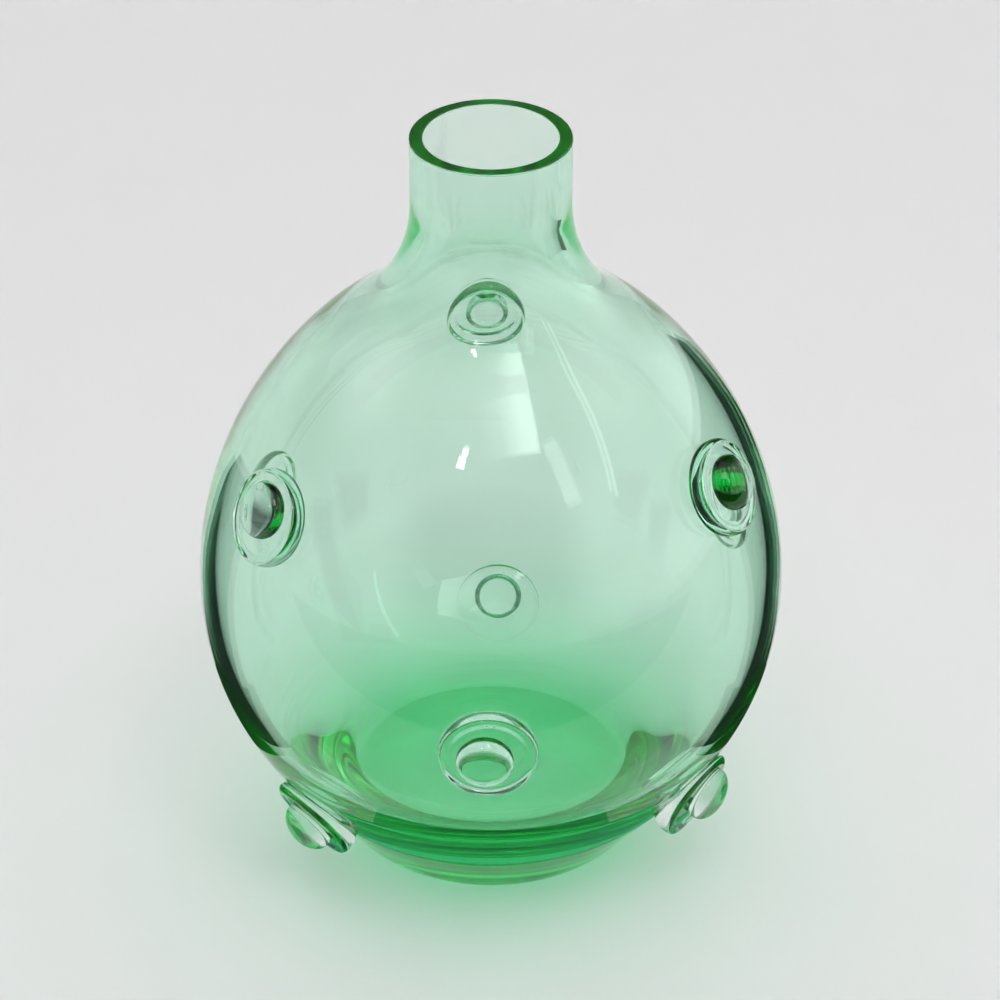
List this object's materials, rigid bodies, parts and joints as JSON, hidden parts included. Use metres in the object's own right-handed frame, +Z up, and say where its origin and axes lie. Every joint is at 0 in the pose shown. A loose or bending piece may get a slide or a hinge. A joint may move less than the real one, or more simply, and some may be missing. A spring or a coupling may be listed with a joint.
{
  "type": "vase",
  "caption": "Round blown glass vase with a straight neck, a thick solid bottom and applied glass prunts round its body.",
  "frame": {"origin": "The middle of the ground foot, on the surface that the vase stands on.", "axes": "+Z up along the axis of the neck, -Y towards the front prunt, +X to its right as seen from the front."},
  "size_m": [0.1553, 0.1656, 0.2044],
  "materials": {
    "green_glass": "fire polished",
    "clear_glass": "fire polished"
  },
  "bodies": {
    "root": {"bubble": "green_glass", "disc_upper_left": "clear_glass", "boss_upper_left": "clear_glass", "disc_upper_right": "clear_glass", "boss_upper_right": "clear_glass", "disc_upper_back": "clear_glass", "boss_upper_back": "clear_glass", "disc_middle_front": "clear_glass", "boss_middle_front": "clear_glass", "disc_middle_right": "clear_glass", "boss_middle_right": "clear_glass", "disc_middle_left": "clear_glass", "boss_middle_left": "clear_glass", "disc_lower_left": "clear_glass", "boss_lower_left": "clear_glass", "disc_lower_right": "clear_glass", "boss_lower_right": "clear_glass", "disc_lower_back": "clear_glass", "boss_lower_back": "clear_glass"}
  },
  "joints": []
}
